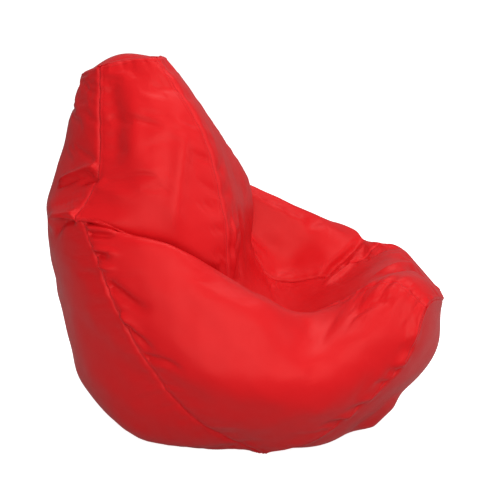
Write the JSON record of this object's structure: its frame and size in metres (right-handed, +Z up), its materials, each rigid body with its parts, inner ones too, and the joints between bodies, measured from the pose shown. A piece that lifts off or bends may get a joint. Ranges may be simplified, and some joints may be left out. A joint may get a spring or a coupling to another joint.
{
  "type": "bean bag chair",
  "caption": "Pear-shaped bean bag chair with a tall back, arm ridges and a hollowed seat: a sewn fabric cover with a zip in its base, an inner liner and a bead filling.",
  "frame": {"origin": "bottom centre of the bag's bounding box, on the floor", "axes": "+Z up; the sitter faces -Y; +X is the sitter's left"},
  "size_m": [0.8247, 0.9853, 0.9462],
  "materials": {
    "cover_fabric": "red coated nylon with a satin sheen",
    "thread": "red polyester thread",
    "zip_tape": "red woven zip tape",
    "zip_coil": "red nylon coil",
    "zip_metal": "nickel-plated zinc",
    "liner": "white non-woven",
    "beads": "expanded polystyrene beads"
  },
  "bodies": {
    "bag": {"right_panel": "cover_fabric", "left_panel": "cover_fabric", "front_panel": "cover_fabric", "back_panel": "cover_fabric", "top_cap": "cover_fabric", "base_panel": "cover_fabric", "right_front_topstitch": "thread", "right_back_topstitch": "thread", "left_front_topstitch": "thread", "left_back_topstitch": "thread", "cap_topstitch": "thread", "base_topstitch": "thread", "zip_tape_upper": "zip_tape", "zip_tape_lower": "zip_tape", "zip_coil_upper": "zip_coil", "zip_coil_lower": "zip_coil", "zip_closed_stop": "zip_metal", "zip_open_stop": "zip_metal", "liner_wall": "liner", "liner_base": "liner", "liner_cap": "liner", "bead_fill": "beads"},
    "slider": {"zip_slider": "zip_metal"},
    "pull": {"zip_pull": "zip_metal"}
  },
  "joints": [
    {"name": "zip_open", "type": "slide", "parent": "bag", "child": "slider", "axis": [-1, 0, 0], "range_m": [0, 0.186]},
    {"name": "pull_swing", "type": "hinge", "parent": "slider", "child": "pull", "pos_m": [0.093, -0.34631, 0.05556], "axis": [0, -0.6691, 0.7431], "range_deg": [-80, 80]}
  ]
}
